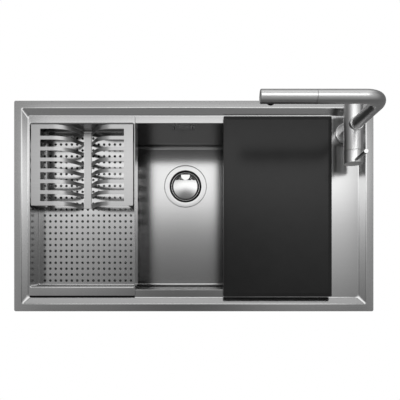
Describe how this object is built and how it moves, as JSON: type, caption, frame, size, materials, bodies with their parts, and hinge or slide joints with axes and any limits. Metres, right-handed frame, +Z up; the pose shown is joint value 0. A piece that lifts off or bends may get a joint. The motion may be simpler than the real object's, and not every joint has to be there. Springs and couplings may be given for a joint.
{
  "type": "inset kitchen sink with tap",
  "caption": "Inset steel kitchen sink with one deep bowl, sliding colander with plate rack, black sliding board, basket strainer and pull-out tap.",
  "frame": {"origin": "centre of the sink's outline in plan, in the plane of the worktop", "axes": "+X to the user's right, +Y to the back wall, +Z up"},
  "size_m": [0.87, 0.51, 0.5145],
  "materials": {
    "stainless": "fine brushed",
    "polished_steel": "polished",
    "zinc_steel": "zinc plated",
    "chrome": "polished",
    "board_black": "matt",
    "black_plastic": "matt",
    "rubber": "matt",
    "sound_mat": "matt",
    "white_plastic": "satin",
    "grey_hose": "woven",
    "brass": "machined"
  },
  "bodies": {
    "sink": {"basin": "stainless", "rim_seal": "rubber", "fixing_rails": "zinc_steel", "fixing_clips": "zinc_steel", "clip_screws": "zinc_steel", "sound_pads": "sound_mat", "waste_flange": "polished_steel", "waste_gasket": "rubber", "waste_body": "white_plastic", "body_gasket": "rubber", "waste_screw": "zinc_steel", "overflow_cover": "polished_steel", "overflow_housing": "white_plastic", "overflow_seal": "rubber", "overflow_pipe": "white_plastic", "tap_seal": "rubber", "tap_base": "chrome", "tap_body": "chrome", "body_plug": "chrome", "swivel_collar": "chrome", "swivel_bush": "white_plastic", "cartridge": "white_plastic", "cartridge_ring": "brass", "tap_plate": "black_plastic", "tap_shank": "brass", "inlet_block": "brass", "tap_washer": "zinc_steel", "tap_nut": "brass"},
    "strainer": {"strainer_basket": "polished_steel", "strainer_cap": "polished_steel", "strainer_seal": "rubber"},
    "colander": {"colander_tray": "stainless", "perforated_floor": "stainless", "tray_glides": "black_plastic"},
    "rack": {"rack_bar": "stainless", "rack_tines": "stainless", "rack_wings": "stainless", "rack_feet": "black_plastic"},
    "board": {"board": "board_black", "board_pads": "rubber"},
    "spout": {"spout_tube": "chrome"},
    "spray_head": {"spray_head": "chrome", "head_nipple": "black_plastic", "hose_stub": "grey_hose", "aerator": "black_plastic", "aerator_screen": "polished_steel"},
    "lever": {"lever_cap": "chrome", "lever_pin": "chrome", "valve_spindle": "brass"}
  },
  "joints": [
    {"name": "colander_slide", "type": "slide", "parent": "sink", "child": "colander", "axis": [1, 0, 0], "range_m": [0, 0.1]},
    {"name": "rack_lift", "type": "slide", "parent": "colander", "child": "rack", "axis": [0, 0, 1], "range_m": [0, 0.07]},
    {"name": "board_slide", "type": "slide", "parent": "sink", "child": "board", "axis": [1, 0, 0], "range_m": [-0.1, 0]},
    {"name": "strainer_lift", "type": "slide", "parent": "sink", "child": "strainer", "axis": [0, 0, 1], "range_m": [0, 0.06]},
    {"name": "spout_swivel", "type": "hinge", "parent": "sink", "child": "spout", "pos_m": [0.3695, 0.177, 0], "axis": [0, 0, 1], "range_deg": [-60, 120]},
    {"name": "spray_pull", "type": "slide", "parent": "spout", "child": "spray_head", "axis": [-1, 0, 0], "range_m": [0, 0.065]},
    {"name": "lever_turn", "type": "hinge", "parent": "sink", "child": "lever", "pos_m": [0.3695, 0.119, 0.0486], "axis": [0, 1, 0], "range_deg": [-50, 50]}
  ]
}
